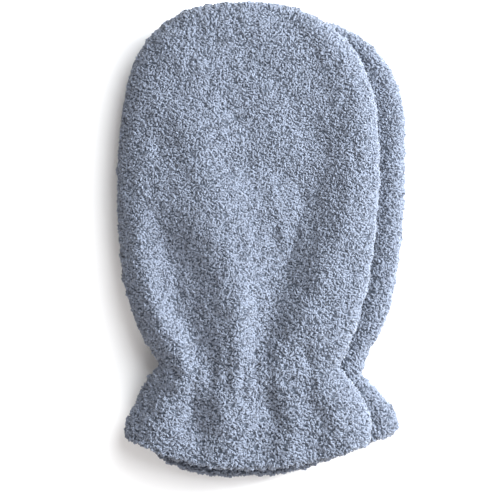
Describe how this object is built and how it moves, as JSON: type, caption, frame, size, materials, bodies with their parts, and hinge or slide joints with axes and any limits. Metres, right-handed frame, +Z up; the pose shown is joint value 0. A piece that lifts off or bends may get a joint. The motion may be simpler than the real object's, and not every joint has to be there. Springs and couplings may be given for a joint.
{
  "type": "terry wash mitt pair",
  "caption": "Two thumbless terry wash mitts stacked flat, each with a round tip, an elastic-gathered neck and a flared double cuff.",
  "frame": {"origin": "bottom centre of the pair's bounding box, on the surface that it lies on", "axes": "+Y from the hems to the tips, +X to the side on which the lower mitt sticks out, +Z up"},
  "size_m": [0.1636, 0.2661, 0.0358],
  "materials": {
    "terry_palm": "matte looped terry",
    "terry_back": "matte looped terry",
    "terry_facing": "matte flattened terry",
    "elastic": "braided, matte",
    "thread": "matte spun thread"
  },
  "bodies": {
    "lower_mitt": {"lower_palm_panel": "terry_palm", "lower_back_panel": "terry_back", "lower_palm_facing": "terry_facing", "lower_back_facing": "terry_facing", "lower_elastic_band": "elastic", "lower_elastic_bartack": "thread", "lower_seam_overlock": "thread", "lower_casing_stitches_tip_side": "thread", "lower_casing_stitches_hem_side": "thread"},
    "upper_mitt": {"upper_palm_panel": "terry_palm", "upper_back_panel": "terry_back", "upper_palm_facing": "terry_facing", "upper_back_facing": "terry_facing", "upper_elastic_band": "elastic", "upper_elastic_bartack": "thread", "upper_seam_overlock": "thread", "upper_casing_stitches_tip_side": "thread", "upper_casing_stitches_hem_side": "thread"}
  },
  "joints": [
    {"name": "upper_mitt_lift", "type": "slide", "parent": "lower_mitt", "child": "upper_mitt", "axis": [0, 0, 1], "range_m": [0, 0.15]}
  ]
}
